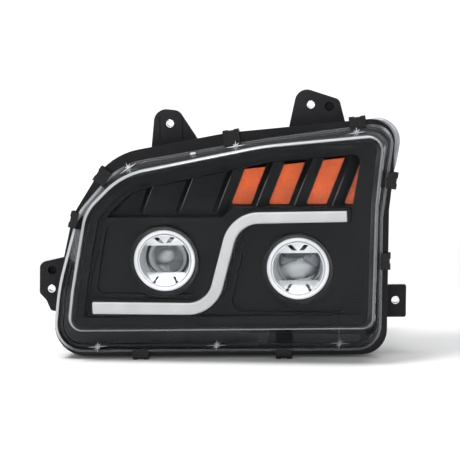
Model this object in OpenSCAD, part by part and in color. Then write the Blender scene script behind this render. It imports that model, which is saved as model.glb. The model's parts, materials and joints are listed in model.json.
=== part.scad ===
// Car headlight assembly: twin projector lamps, S-shaped daylight strip, amber turn signal.
// Lamp coordinates: X to the right, Y back from the front of the lens, Z up from the lens's
// lower edge, all in millimetres. home() moves the lamp onto its own origin, at the middle of
// its base. Outlines are lists of corners [x, z, radius], clockwise as seen from the front.

/* [Front face] */
// How far the face sweeps back towards its left end, in degrees
sweep = 5; // [4:0.5:6]
// Depth of the face's crest line at the middle of the lamp
face_depth = 20; // [18:1:22]
// How far the face domes forward at its middle
dome = 6; // [2:1:8]
// Depth of the front of the lens flange
flange_depth = 64; // [62:1:66]
// Thickness of the lens
lens_wall = 3; // [2.5:0.5:3.5]

/* [Housing] */
// Wall of the housing
wall = 2.5; // [2:0.5:3]
// Depth of the back of the wide shell
shell_back = 112; // [111:1:114]
// Depth of the back of the lamp chamber
chamber_back = 150; // [148:1:152]
// Depth of the rear end of the round turrets
turret_back = 200; // [198:1:204]
// Inner radius of the turrets
turret_r = 53.5; // [53:0.5:54]

/* [Projectors] */
// Outer radius of a halo ring
halo_r = 41.5; // [41:0.5:42]
// Radius of the projector lens at its mounting rim
optic_r = 31.8; // [31:0.1:31.8]
// Fins on each heat sink
fins = 9; // [7:1:11]
// Blades on each fan
blades = 7; // [5:1:9]

/* [Lights] */
// Width of the daylight strip
strip_w = 16; // [14:1:17]
// Width of the daylight strip at its right-hand end
strip_end_w = 14; // [12:1:14]
// Distance between neighbouring turn-signal windows
pitch = 50; // [48:1:52]
// Width of a turn-signal window
window_w = 27; // [24:1:28]
// Slant of the windows and fins from upright, in degrees
slant = 22.5; // [22:0.5:26]

/* [Fixings] */
// Radius of the bolt hole in each mounting sleeve
bolt_r = 4.25; // [4:0.05:4.5]
// Length of each mounting sleeve
sleeve_l = 9; // [8:1:10]
// Radius of the two locating sockets
socket_r = 6; // [5:0.5:6.5]
// Depth of the two locating sockets
socket_l = 10; // [8:1:10]

/* [Hidden] */
$fn = 64;
home = [20, -109.2, 9];
// Middles of the halo rings' faces: x, y, z
ring_left = [-88, 50, 128];
ring_right = [91, 36, 118];
// The axis of the projectors' tilt and the middle of the adjuster's ball, at rest
tilt_axis = [0, 102, 123];
adjuster = [2, 102, 44];
channel_back = flange_depth + 22;
rim_front = flange_depth + 3.4;
sleeve_r = 5.5;
// A projector behind the middle of its halo ring's face: where its mounting flange, its heat
// sink's base and its fan start, and its four screws' places across and up
mount_y = 68;
sink_y = 98.5;
fan_y = 124.3;
mount_x = 36;
mount_z = 33;
bezel_wall = 2.2;
// How deep the fins' sharp edges lie, and where the first amber window's lower corner is
fin_front = 21;
window_x = 1;
bracket_front = shell_back;
bracket_t = 4;

// Outlines
crest = [[-217, 38, 14], [-209.5, 90, 300], [-188, 195, 55], [-138, 243, 105],
         [50, 279, 400], [204, 292, 15], [193, 205, 60], [186, 46, 12]];
flange = [[-248, 1, 38], [-236, 92, 300], [-206, 192, 60], [-147, 257, 95],
          [50, 288, 400], [223, 308, 26], [203, 180, 70], [198, 2, 34]];
rim = [[-249, -5, 42], [-237, 92, 300], [-213, 188, 70], [-160, 269, 90],
       [0, 296, 400], [228, 314, 30], [211, 190, 80], [205, -4, 34]];
pocket = [[-199, 52, 10], [-193.5, 90, 200], [-171, 186, 45], [-131, 225, 70],
          [50, 262, 400], [180, 273, 12], [167, 205, 60], [161, 56, 10]];
field_left = [[-184, 84, 10], [-166, 178, 12], [-15, 178, 8], [-40, 84, 26]];
field_right = [[-3, 62, 14], [26, 170, 30], [156, 171, 10], [152, 62, 12]];
chamber = [[-162, 28, 30], [-162, 208, 40], [168, 208, 40], [168, 28, 30]];
turn_area = [[-5, 198, 3], [17, 249, 3], [176, 266, 3], [164, 198, 3]];
ear_top_left = [[-114, 238, 4], [-103, 327, 16], [-71, 323, 13], [-42, 277, 16], [-34, 238, 4]];
ear_top_right = [[70, 266, 4], [91, 353, 16], [146, 334, 9], [162, 266, 4]];
ear_lower_left = [[-257, 50, 5], [-263, 65, 4], [-272, 75, 6], [-270, 117, 9],
                  [-205, 131, 4], [-205, 44, 4]];
ear_lower_right = [[176, 38, 4], [176, 82, 4], [232, 82, 3], [231, 38, 3]];
// The daylight strip's middle line, and the lower edge of the louvre band
strip_path = [[-187, 66, 1], [-25, 66, 43], [9.5, 187, 43], [157.5, 189.5, 1]];
strip_widths = [strip_w, strip_w, strip_w, strip_end_w];
band_edge = [[-220, 187], [-8, 187], [6, 201], [220, 201]];

// Where things sit: [x, z] and, on the rim, the direction outwards in degrees
bolt_holes = [[-83, 306], [108, 328], [-254.5, 81], [217, 61.5]];
sockets = [[132.5, 325], [-253, 106.5]];
ear_screws = [[-101, 249], [-47, 250], [85, 279], [148, 279],
              [-215, 60], [-215, 115], [184, 48], [184, 74]];
// On a clip the last number is how far the rim stands out beyond the lens flange
clips = [[-126, -5, 270, 6], [68, -5, 270, 6], [4, 296.4, 98, 15], [171, 311, 95, 9],
         [-174.5, 243.9, 145, 12], [-213, 183, 165, 5], [219, 229, -10, 8], [208.5, 122, -2, 7]];
bezel_posts = [[-209, 62, 169], [-160, 209, 138], [150, 274, 95], [160, 35, 270]];
vents = [[-184, 160], [182, 150]];
feet = [-130, 134];

// ---- outlines -------------------------------------------------------------------------
function unit(v) = v / norm(v);
function flat(p) = [p[0], p[1]];
function side_of(v) = [-v[1], v[0]];
function turn_of(a, b) = atan2(a[0] * b[1] - a[1] * b[0], a[0] * b[0] + a[1] * b[1]);
function arc_of(p, a, b, r, steps = 8) =
    let (turn = turn_of(a, b), start = p - a * r * tan(abs(turn) / 2),
         hub = start + side_of(a) * r * sign(turn), from = start - hub)
    [for (k = [0:steps]) let (t = turn * k / steps)
        hub + [from[0] * cos(t) - from[1] * sin(t), from[0] * sin(t) + from[1] * cos(t)]];
// Points of a closed outline with its corners rounded
function rounded(c, steps = 8) =
    let (n = len(c))
    [for (i = [0:n - 1])
        let (p = flat(c[i]), a = unit(p - flat(c[(i + n - 1) % n])),
             b = unit(flat(c[(i + 1) % n]) - p))
        each arc_of(p, a, b, c[i][2], steps)];
// Where a corner goes when the two sides that meet there move out by d
function pushed(p, a, b, d) = p + (side_of(a) + side_of(b)) * d / (1 + side_of(a) * side_of(b));
// The same outline made larger by d all round
function grow(c, d) =
    let (n = len(c))
    [for (i = [0:n - 1])
        let (p = flat(c[i]), a = unit(p - flat(c[(i + n - 1) % n])),
             b = unit(flat(c[(i + 1) % n]) - p), q = pushed(p, a, b, d))
        [q[0], q[1], max(0.2, c[i][2] - sign(turn_of(a, b)) * d)]];
// One side of a band of changing width along an open path
function edge_of(path, widths, extra, s) =
    let (n = len(path))
    [for (i = [0:n - 1])
        let (p = flat(path[i]), d = s * (widths[i] / 2 + extra),
             a = unit(flat(path[max(1, i)]) - flat(path[max(1, i) - 1])),
             b = unit(flat(path[min(n - 1, i + 1)]) - flat(path[min(n - 1, i + 1) - 1])),
             q = pushed(p, a, b, d) + (i == 0 ? -extra : i == n - 1 ? extra : 0) * a)
        [q[0], q[1], i == 0 || i == n - 1 ? 1.2 : path[i][2] - sign(turn_of(a, b)) * d]];
function backwards(c) = [for (i = [len(c) - 1:-1:0]) c[i]];
// A closed outline round the daylight strip, larger than it by extra
function strip(extra) = concat(edge_of(strip_path, strip_widths, extra, 1),
                               backwards(edge_of(strip_path, strip_widths, extra, -1)));

// ---- shared shapes --------------------------------------------------------------------
module home() { translate(home) children(); }
// The face's own frame: y is the distance behind the swept face
module swept() { translate([0, face_depth, 0]) rotate([0, 0, -sweep]) children(); }
module shape(c) { polygon(rounded(c)); }
module slab(y0, y1) { translate([0, y1, 0]) rotate([90, 0, 0]) linear_extrude(y1 - y0) children(); }
module band(outer, inner, y0, y1) {
    slab(y0, y1) difference() { shape(outer); shape(inner); }
}
module along_x(x0, x1) {
    translate([x0, 0, 0]) rotate([90, 0, 90]) linear_extrude(x1 - x0) children();
}
module rod(r, y0, y1) { translate([0, y0, 0]) rotate([-90, 0, 0]) cylinder(r = r, h = y1 - y0); }
module cross_rod(r, x0, x1) { translate([x0, 0, 0]) rotate([0, 90, 0]) cylinder(r = r, h = x1 - x0); }
module tube(outer_r, inner_r, y0, y1) {
    difference() { rod(outer_r, y0, y1); rod(inner_r, y0 - 1, y1 + 1); }
}
module turned(profile) { rotate([-90, 0, 0]) rotate_extrude() polygon(profile); }
module block(low, high) { translate(low) cube(high - low); }
module at(p) { translate([p[0], 0, p[1]]) children(); }
module mirrored() { children(); mirror([1, 0, 0]) children(); }
module four(x, z) { for (i = [-1, 1], j = [-1, 1]) translate([i * x, 0, j * z]) children(); }

// ---- lens and seal --------------------------------------------------------------------
function face_y(x) = face_depth - x * tan(sweep);
// A ring of points behind the swept face, and one at a fixed depth
function ring_on_face(c, back) = [for (p = rounded(c)) [p[0], face_y(p[0]) + back, p[1]]];
function ring_at(c, y) = [for (p = rounded(c)) [p[0], y, p[1]]];
// A ring inside the crest, part of the way to the middle of the domed face
function dome_ring(c, part, back) =
    [for (p = rounded(c)) let (x = part * (p[0] + 5) - 5, z = part * (p[1] - 160) + 160)
        [x, face_y(x) + back - dome * (1 - part * part), z]];
function middle_of(ring) = [for (i = [0:len(ring) - 1]) 1] * ring / len(ring);
// A solid through rings of points, closed at both ends by a fan about each end's middle
module loft(rings) {
    n = len(rings[0]);
    m = len(rings);
    polyhedron([for (r = rings) each r, middle_of(rings[0]), middle_of(rings[m - 1])],
        [for (i = [0:n - 1]) let (j = (i + 1) % n) each concat(
            [[m * n, j, i]], [[m * n + 1, (m - 1) * n + i, (m - 1) * n + j]],
            [for (k = [0:m - 2]) [k * n + i, k * n + j, (k + 1) * n + j, (k + 1) * n + i]])],
        convexity = 6);
}
module lens_solid(inset, back) {
    loft([ring_at(grow(flange, -4 - inset), flange_depth + 3 + (inset > 0 ? 1 : 0)),
          ring_at(grow(flange, -4 - inset), flange_depth - 1 + back / 2),
          ring_on_face(grow(crest, 4.5 - inset), 6 + back / 2),
          ring_on_face(grow(crest, 3 - inset), 2 + back),
          ring_on_face(grow(crest, -inset), back),
          dome_ring(grow(crest, -inset), 0.8, back),
          dome_ring(grow(crest, -inset), 0.5, back),
          dome_ring(grow(crest, -inset), 0.2, back)]);
}
module outer_lens() {
    color([0.85, 0.88, 0.9, 0.35]) home() {
        difference() {
            lens_solid(0, 0);
            lens_solid(lens_wall, lens_wall);
        }
        band(flange, grow(flange, -5), flange_depth, flange_depth + 3);
        band(grow(flange, -4), grow(flange, -6.5), flange_depth + 3, flange_depth + 16);
    }
}
module seal_bead() {
    color([0.1, 0.1, 0.1]) home()
        band(grow(flange, -3.1), grow(flange, -7.4), flange_depth + 16, channel_back - 3);
}
module clip_at(c) {
    reach = 3.6;
    hook = -c[3] - 2.4;
    at(c) rotate([0, -c[2], 0]) difference() {
        block([hook, flange_depth - 2.4, -11], [reach, rim_front + 7, 11]);
        block([hook - 1, flange_depth - 0.05, -20], [1.2, rim_front + 4.4, 20]);
        block([hook - 1, rim_front + 4, -20], [1.8 - c[3], rim_front + 8, 20]);
        block([reach - 1, flange_depth - 5, -4], [reach + 1, rim_front + 9, 4]);
    }
}
module lens_clips() {
    color([0.09, 0.09, 0.1]) home() for (c = clips) clip_at(c);
}

// ---- housing --------------------------------------------------------------------------
module shell_walls() {
    body = grow(flange, -7.5);
    inside = grow(flange, -7.5 - wall);
    band(rim, grow(flange, -3), rim_front, rim_front + 4);
    band(flange, grow(flange, -3), rim_front, channel_back);
    band(flange, inside, channel_back - 3, channel_back);
    band(body, inside, rim_front, shell_back);
    band(body, grow(chamber, -wall), shell_back - wall, shell_back);
    band(chamber, grow(chamber, -wall), shell_back - wall, chamber_back);
    slab(chamber_back - wall, chamber_back) shape(chamber);
}
module turret() {
    rod(turret_r + wall, chamber_back - wall, turret_back);
    for (a = [0, 120, 240]) rotate([0, a, 0])
        lug(turret_r + wall - 1, turret_r + wall + 2.2, turret_back - 4, turret_back - 1);
}
// A short arc of a ring, 20 degrees long, centred on the local X axis
module lug(r0, r1, y0, y1) {
    intersection() {
        tube(r1, r0, y0, y1);
        slab(y0 - 1, y1 + 1) polygon([[0, 0], [90, 16], [90, -16]]);
    }
}
module foot() {
    along_x(-2, 2) polygon([[88, 10], [92, -6], [96, -9], [144, -9], [148, -6], [150, 29],
                            [shell_back - 1, 29], [shell_back - 1, 10]]);
    block([-7, 96, -9], [7, 144, -6]);
}
module back_ribs() {
    for (x = [-120, -88, -56, 62, 91, 120])
        along_x(x - 1, x + 1) polygon([[chamber_back - 1, 34], [chamber_back + 9, 44],
            [chamber_back + 9, 196], [chamber_back - 1, 204]]);
    for (z = [60, 90, 165, 195])
        block([-150, chamber_back - 1, z - 1], [156, chamber_back + 5, z + 1]);
    for (x = [-145, -110, -70, -30, 10, 50, 90, 130, 160])
        along_x(x - 1, x + 1) polygon([[shell_back - 1, 207], [chamber_back - 4, 207],
            [shell_back + 4, 232 + x * 0.14], [shell_back - 1, 232 + x * 0.14]]);
    for (z = [110, 140, 170], s = [-1, 1]) translate([3, 0, z]) gusset(s);
}
module gusset(s) {
    linear_extrude(2) polygon([[s * 164, shell_back - 1], [s * 164, chamber_back - 6],
                               [s * 184, shell_back + 4], [s * 184, shell_back - 1]]);
}
module housing() {
    color([0.13, 0.13, 0.14]) home() difference() {
        union() {
            shell_walls();
            translate([ring_left[0], 0, ring_left[2]]) turret();
            translate([ring_right[0], 0, ring_right[2]]) turret();
            back_ribs();
            for (x = feet) translate([x, 0, 0]) foot();
            for (p = ear_screws) at(p) rod(5, shell_back - 12, shell_back - 0.5);
            for (p = bezel_posts) at(p) rod(5, flange_depth + 6, shell_back - 1);
            for (p = vents) at(p) rod(5, shell_back - 1, shell_back + 7);
            at([adjuster[0], adjuster[2]]) rod(13, chamber_back - 1, chamber_back + 1);
            block([-20, chamber_back - 1, 172], [24, chamber_back + 1, 200]);
            block([-26, chamber_back - 1, 74], [30, chamber_back + 1, 152]);
        }
        translate([ring_left[0], 0, ring_left[2]]) rod(turret_r, chamber_back - 5, turret_back + 1);
        translate([ring_right[0], 0, ring_right[2]]) rod(turret_r, chamber_back - 5, turret_back + 1);
        for (p = ear_screws) at(p) rod(2, shell_back - 11, shell_back + 1);
        for (p = bezel_posts) at(p) rod(2, flange_depth + 5, flange_depth + 20);
        for (p = vents) at(p) rod(3, shell_back - 5, shell_back + 8);
        at([adjuster[0], adjuster[2]]) rod(6.1, chamber_back - 5, chamber_back + 2);
        block([-14, chamber_back - 5, 179], [18, chamber_back + 2, 193]);
        block([-27, chamber_back + 1, 73], [31, chamber_back + 20, 153]);
        block([-24, chamber_back + 1, 170], [28, chamber_back + 20, 202]);
    }
}
module vent_caps() {
    color([0.12, 0.12, 0.12]) home() for (p = vents) at(p) difference() {
        turned([[5, shell_back + 0.4], [8, shell_back + 0.4], [8, shell_back + 10],
                [6, shell_back + 12], [0, shell_back + 12], [0, shell_back + 9], [5, shell_back + 9]]);
        for (a = [0, 90]) rotate([0, a, 0])
            block([-10, shell_back + 7.5, -1], [10, shell_back + 8.5, 1]);
    }
}

// ---- mounting ears --------------------------------------------------------------------
module ear(outline, hole, socket, screws) {
    color([0.1, 0.1, 0.11]) home() difference() {
        union() {
            slab(bracket_front, bracket_front + bracket_t) shape(outline);
            band(outline, grow(outline, -3), bracket_front + bracket_t - 1, bracket_front + bracket_t + 3);
            at(hole) rod(9, bracket_front, bracket_front + 7.5);
            if (len(socket) == 2) at(socket) rod(9, bracket_front, bracket_front + socket_l + 2);
        }
        at(hole) rod(sleeve_r, bracket_front - 1, bracket_front + 9);
        if (len(socket) == 2) at(socket) rod(socket_r, bracket_front - 1, bracket_front + socket_l);
        for (p = screws) at(p) rod(2.3, bracket_front - 1, bracket_front + 9);
        for (p = screws) at(p) rod(6, bracket_front + bracket_t, bracket_front + 9);
    }
}
module bracket_top_left() {
    difference() {
        ear(ear_top_left, bolt_holes[0], [], [ear_screws[0], ear_screws[1]]);
        color([0.1, 0.1, 0.11]) home() for (x = [-97, -66])
            block([x - 1, bracket_front - 1, 284], [x + 1, bracket_front + 1, 316]);
    }
}
module bracket_top_right() {
    ear(ear_top_right, bolt_holes[1], sockets[0], [ear_screws[2], ear_screws[3]]);
}
module bracket_lower_left() {
    ear(ear_lower_left, bolt_holes[2], sockets[1], [ear_screws[4], ear_screws[5]]);
}
module bracket_lower_right() {
    ear(ear_lower_right, bolt_holes[3], [], [ear_screws[6], ear_screws[7]]);
}
module screw(y0, shank, head_r) {
    // Shank runs forward from the head's underside at y0
    rod(1.9, y0 - shank, y0);
    difference() {
        rod(head_r, y0, y0 + 2.6);
        for (a = [0, 90]) rotate([0, a, 0]) block([-2.4, y0 + 1.4, -0.5], [2.4, y0 + 4, 0.5]);
    }
}
module bracket_screws() {
    color([0.6, 0.6, 0.62]) home() for (p = ear_screws) at(p) screw(bracket_front + bracket_t, 12, 4.2);
}
module mount_sleeves() {
    color([0.75, 0.75, 0.77]) home()
        for (p = bolt_holes) at(p) tube(sleeve_r, bolt_r, bracket_front - 1, bracket_front - 1 + sleeve_l);
}

// ---- bezels ---------------------------------------------------------------------------
// The sloping skirt of the bezel, as a solid that reaches from the flange to the front edge
module skirt_solid(inset, past) {
    loft([ring_at(grow(flange, -12 - inset), flange_depth + 2 + past),
          ring_on_face(grow(crest, -3 - inset), 16),
          ring_on_face(grow(crest, -4.2 - inset), 10.6 - past)]);
}
module outer_bezel() {
    color([0.12, 0.12, 0.13]) home() difference() {
        union() {
            difference() {
                skirt_solid(0, 0);
                skirt_solid(bezel_wall, 1);
            }
            intersection() {
                for (p = bezel_posts) at(p) rotate([0, -p[2], 0])
                    block([-7, flange_depth - 1, -7], [30, flange_depth + 1.5, 7]);
                slab(flange_depth - 2, flange_depth + 2) shape(grow(flange, -13));
            }
        }
        for (p = bezel_posts) at(p) rod(2.3, flange_depth - 3, flange_depth + 3);
    }
}
module bezel_screws() {
    color([0.3, 0.3, 0.32]) home() for (p = bezel_posts) at(p) mirror([0, 1, 0])
        translate([0, -2 * (flange_depth - 1), 0]) screw(flange_depth - 1, 12, 4.2);
}
// One triangular blade between two windows, its sharp edge towards the front
module fin(x, depth = 28) {
    base = (pitch - window_w) * cos(slant);
    translate([x, 0, 187]) rotate([0, slant, 0]) linear_extrude(90)
        polygon([[0.4 - base, depth + 0.6], [-0.6 * base, fin_front], [-0.4, depth + 0.6]]);
}
// The sloping roof of the louvre band, along one side of the outline
module roof(a, b) {
    run = flat(b) - flat(a);
    translate([a[0], 0, a[1]]) rotate([0, -atan2(run[1], run[0]), 0]) along_x(-30, norm(run) + 30)
        polygon([[12, 8], [29.4, 8], [29.4, -5], [12, 0]]);
}
module louvre_band(drop) {
    polygon(concat([for (p = band_edge) [p[0], p[1] - drop]], [[220, 330], [-220, 330]]));
}
module window(i) {
    x = window_x + pitch * i;
    rise = 64;
    offset(r = 2.5) offset(delta = -2.5)
        polygon([[x, 203], [x + rise * tan(slant), 203 + rise],
                 [x + window_w + rise * tan(slant), 203 + rise], [x + window_w, 203]]);
}
module funnel(p) {
    y = p[1];
    translate([p[0], 0, p[2]]) turned([[halo_r + 0.5, y + 10], [halo_r + 0.5, y],
        [halo_r + 5, y - 10], [halo_r + 7, y - 10], [halo_r + 7, y + 10]]);
}
module bezel_floors() {
    border = grow(crest, -14);
    recess = grow(pocket, -2.2);
    band(grow(crest, -4), border, 7, 10);
    band(grow(border, 2.2), border, 7, 14.5);
    band(border, pocket, 12, 14.5);
    band(pocket, recess, 12, 30.5);
    slab(14, 16.5) difference() {
        shape(pocket);
        louvre_band(0);
        shape(field_left);
        shape(field_right);
    }
    for (f = [field_left, field_right]) {
        band(grow(f, 2.2), f, 14, 21.5);
        slab(19, 21.5) shape(f);
    }
    slab(14, 30.5) intersection() {
        difference() { louvre_band(2.2); louvre_band(0); }
        shape(pocket);
    }
    slab(28, 30.5) difference() {
        intersection() { louvre_band(0); shape(pocket); }
        for (i = [0:3]) window(i);
    }
    intersection() {
        union() {
            for (i = [-3:3]) fin(window_x + pitch * i - (203 - 187) * tan(slant));
            for (i = [2:4]) roof(pocket[i], pocket[min(i + 1, 5)]);
        }
        slab(12, 30) intersection() { louvre_band(0); shape(pocket); }
    }
    slab(8, 28.5) shape(strip(3.5));
}
module inner_bezel() {
    color([0.16, 0.16, 0.17]) home() {
        difference() {
            swept() bezel_floors();
            swept() slab(7, 26.2) shape(strip(0.3));
            for (p = [ring_left, ring_right]) translate([p[0], 0, p[2]]) rod(halo_r + 6, 10, 90);
        }
        funnel(ring_left);
        funnel(ring_right);
    }
}

// ---- daylight strip -------------------------------------------------------------------
module drl_light_guide() {
    color([0.93, 0.94, 0.95]) home() swept() slab(4, 13) shape(strip(0));
}
module drl_reflector() {
    color([0.9, 0.9, 0.9]) home() swept() {
        band(strip(0), strip(-2), 13.2, 22);
        slab(20.5, 22) difference() { shape(strip(-1.5)); led_spots(5); }
    }
}
module led_spots(w) {
    for (x = [-178:14:-52]) translate([x, 66]) square(w, center = true);
    for (k = [0:3]) translate([-12.3 + 3.9 * k, 110 + 14 * k]) square(w, center = true);
    for (x = [50:14:148]) translate([x, 188]) square(w, center = true);
}
module drl_board() {
    color([0.1, 0.35, 0.2]) home() swept() slab(22.2, 23.8) shape(strip(-0.5));
}
module drl_leds() {
    color([0.95, 0.9, 0.5]) home() swept() slab(20, 22.2) led_spots(3.6);
}

// ---- turn signal ----------------------------------------------------------------------
module turn_lens() {
    color([0.95, 0.4, 0.1]) home() swept() slab(30.8, 33.2) shape(turn_area);
}
module turn_reflector() {
    color([0.85, 0.85, 0.87]) home() swept() difference() {
        slab(33.5, 64) shape(turn_area);
        for (i = [0:3]) turn_cell(i);
    }
}
// The four slanted cups of the reflector, each with a hole for its light
module turn_cell(i) {
    slab(33, 61) intersection() {
        shape(grow(turn_area, -2.5));
        translate([pitch * i, 0]) polygon([[-8, 196], [20, 272], [66, 272], [35, 196]]);
    }
    at([turn_x(i), 226]) rod(4, 60, 66);
}
function turn_x(i) = 28 + (pitch - 6) * i;
module turn_board() {
    color([0.1, 0.35, 0.2]) home() swept() slab(64.3, 65.9) shape(turn_area);
}
module turn_leds() {
    color([0.95, 0.8, 0.4]) home() swept() for (i = [0:3]) at([turn_x(i), 226])
        rod(3, 61.5, 64.3);
}

// ---- halo rings and shrouds -----------------------------------------------------------
module halo_ring(p) {
    color([0.95, 0.95, 0.97]) home() translate(p)
        turned([[35.3, 8], [35.3, 1.5], [36.5, 0.2], [40.2, 0.2], [halo_r, 1.5], [halo_r, 8]]);
}
module halo_ring_left() { halo_ring(ring_left); }
module halo_ring_right() { halo_ring(ring_right); }
module shroud_plate() {
    intersection() {
        turned([[0, 1], [34.4, 1], [30.6, 28], [0, 28]]);
        along_x(-36, 36) polygon([[1.4, 35], [15, 18.4], [20.5, 18.4],
                                  [20.5, 19.6], [15.8, 19.6], [2.9, 35]]);
    }
}
module shroud(p) {
    color([0.85, 0.86, 0.88]) home() translate(p) difference() {
        union() {
            turned([[33.8, 1], [35, 1], [34.8, 3], [30.4, 31], [29.4, 31]]);
            shroud_plate();
            mirror([0, 0, 1]) shroud_plate();
        }
        mirrored() slab(-2, 15) polygon([[15, 31], [8, 31], [1.5, 22.5], [8, 22.5]]);
        mirrored() slab(-2, 15) polygon([[12.5, -22.5], [8.5, -22.5], [13.5, -31], [18, -31]]);
    }
}
module shroud_left() { shroud(ring_left); }
module shroud_right() { shroud(ring_right); }

// ---- projectors, in a frame whose origin is the middle of the halo ring's face ----------
module projector_lens(p) {
    bulge_r = 31.6;
    color([0.8, 0.85, 0.9, 0.5]) home() translate(p) {
        intersection() {
            translate([0, 18.5 + bulge_r, 0]) sphere(r = bulge_r);
            rod(40, 10, 39.5);
        }
        rod(optic_r, 39.5, 42.5);
    }
}
module projector_lens_left() { projector_lens(ring_left); }
module projector_lens_right() { projector_lens(ring_right); }
module projector_housing(p) {
    color([0.55, 0.56, 0.58]) home() translate(p) difference() {
        union() {
            rod(35, 37, mount_y + 1);
            intersection() {
                block([-42, mount_y, -39], [42, mount_y + 4, 39]);
                rod(52, mount_y, mount_y + 4);
            }
        }
        rod(30.2, 30, 45);
        rod(32, 39.5, mount_y + 10);
        four(mount_x, mount_z) rod(2.2, mount_y - 1, mount_y + 5);
        translate([0, 62, -24]) cross_rod(1.56, -40, 40);
    }
}
module projector_housing_left() { projector_housing(ring_left); }
module projector_housing_right() { projector_housing(ring_right); }
function bowl(y, r, depth) = r * sqrt(max(0, 1 - pow((y - mount_y - 4) / depth, 2)));
module reflector(p) {
    steps = 10;
    front = mount_y + 4;
    color([0.88, 0.88, 0.9]) home() translate(p) difference() {
        union() {
            turned(concat([for (k = [0:steps]) [bowl(front + 2.55 * k, 31, 26), front + 2.55 * k]],
                          [for (k = [steps:-1:0]) [bowl(front + 2.4 * k, 29, 24.2), front + 2.4 * k]]));
            tube(36, 30, front, front + 2);
        }
        block([-50, 60, -50], [50, 120, 0.8]);
    }
}
module reflector_left() { reflector(ring_left); }
module reflector_right() { reflector(ring_right); }
module led_board(p) {
    color([0.15, 0.4, 0.25]) home() translate(p) {
        block([-20, 76, -2.2], [20, 96, -0.6]);
        block([-6, 81, -0.6], [6, 87, 0.4]);
    }
}
module led_board_left() { led_board(ring_left); }
module led_board_right() { led_board(ring_right); }
module heat_sink(p) {
    step = 64 / (fins - 1);
    color([0.7, 0.71, 0.73]) home() translate(p) {
        block([-26, 74, -10], [26, sink_y, -2.2]);
        mirrored() block([29, mount_y + 4, -26], [33, sink_y, -6]);
        block([-33, sink_y, -30], [33, sink_y + 4, 30]);
        for (i = [0:fins - 1]) translate([-33 + i * step, 0, 0])
            block([0, sink_y + 3, -30], [2, fan_y - 0.3, 30]);
    }
}
module heat_sink_left() { heat_sink(ring_left); }
module heat_sink_right() { heat_sink(ring_right); }
module fan_frame(p) {
    color([0.08, 0.08, 0.08]) home() translate(p) {
        difference() {
            block([-29, fan_y, -29], [29, fan_y + 12, 29]);
            rod(27, fan_y - 1, fan_y + 13);
            four(24.5, 24.5) rod(1.8, fan_y - 1, fan_y + 13);
        }
        difference() {
            union() {
                rod(10, fan_y + 10, fan_y + 12);
                for (a = [45, 135]) rotate([0, a, 0])
                    block([-27.5, fan_y + 10, -1.5], [27.5, fan_y + 12, 1.5]);
            }
            rod(1.56, fan_y + 5, fan_y + 14);
        }
    }
}
module fan_frame_left() { fan_frame(ring_left); }
module fan_frame_right() { fan_frame(ring_right); }
module fan_rotor(p) {
    color([0.1, 0.1, 0.1]) home() translate(p) {
        tube(9.5, 8, fan_y + 1, fan_y + 8);
        rod(9.5, fan_y + 1, fan_y + 2.2);
        rod(1.5, fan_y + 2, fan_y + 12);
        intersection() {
            tube(25.8, 9.2, fan_y + 1, fan_y + 8.5);
            for (i = [0:blades - 1]) rotate([0, 360 / blades * i, 0])
                translate([17, fan_y + 4.8, 0]) rotate([38, 0, 0]) block([-8.6, -0.6, -7], [10, 0.6, 7]);
        }
    }
}
module fan_rotor_left() { fan_rotor(ring_left); }
module fan_rotor_right() { fan_rotor(ring_right); }

// ---- cut-off shield of the right projector ----------------------------------------------
module shield_right() {
    color([0.2, 0.2, 0.21]) home() translate(ring_right) {
        translate([0, 62, -24]) cross_rod(1.5, -24, 24);
        block([-16, 61.4, -24], [16, 62.6, -7]);
        slab(61.4, 62.6) polygon([[-28, -8], [-28, -1.5], [-2, -1.5], [2, -0.2], [28, -0.2], [28, -8]]);
    }
}
module solenoid_right() {
    color([0.35, 0.33, 0.3]) home() translate(ring_right) difference() {
        block([-9, 74.5, -27], [9, 94, -10.4]);
        translate([0, 0, -18]) rod(2.06, 70, 91);
    }
}
module plunger_right() {
    color([0.7, 0.7, 0.72]) home() translate(ring_right) translate([0, 0, -18]) {
        rod(2, 63.5, 87);
        rod(3.2, 63.5, 65);
    }
}

// ---- aiming frame -----------------------------------------------------------------------
module aim_frame() {
    y0 = tilt_axis[1] - 2;
    y1 = tilt_axis[1] + 2;
    stand_off = ring_left[1] + mount_y;
    plate = [[-140, 70, 14], [-140, 186, 14], [144, 180, 14], [144, 62, 14]];
    color([0.3, 0.3, 0.32]) home() difference() {
        union() {
            slab(y0, y1) difference() {
                shape(plate);
                translate([ring_left[0], ring_left[2]]) circle(r = 38);
                translate([ring_right[0], ring_right[2]]) circle(r = 38);
                shape([[-30, 84, 6], [-30, 162, 6], [34, 162, 6], [34, 84, 6]]);
            }
            band(plate, grow(plate, -3), y0 - 4, y1);
            translate([ring_left[0], 0, ring_left[2]]) four(mount_x, mount_z) rod(5, y0, stand_off);
            translate([ring_right[0], 0, ring_right[2]]) four(mount_x, mount_z) rod(5, y0 - 6, y1);
            for (x = [-150, 144]) block([x, y0 - 6, tilt_axis[2] - 9], [x + 10, y1 + 6, tilt_axis[2] + 9]);
            slab(y0, y1) polygon([[-10, 80], [14, 80], [11, 48], [-7, 48]]);
            block([adjuster[0] - 8, y0 - 7, adjuster[2] - 9], [adjuster[0] + 8, y1 + 6, adjuster[2] + 9]);
        }
        for (x = [-154, 140]) translate([0, tilt_axis[1], tilt_axis[2]]) cross_rod(4.06, x, x + 18);
        translate([0, adjuster[1], adjuster[2]]) cross_rod(5.8, -20, 20);
        block([adjuster[0] - 4.2, adjuster[1], adjuster[2] - 4.2],
              [adjuster[0] + 4.2, adjuster[1] + 20, adjuster[2] + 4.2]);
        translate([ring_left[0], 0, ring_left[2]]) four(mount_x, mount_z) rod(2, y0 + 2, stand_off + 1);
        translate([ring_right[0], 0, ring_right[2]]) four(mount_x, mount_z) rod(2, y0 - 5, y1 + 1);
    }
}
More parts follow.
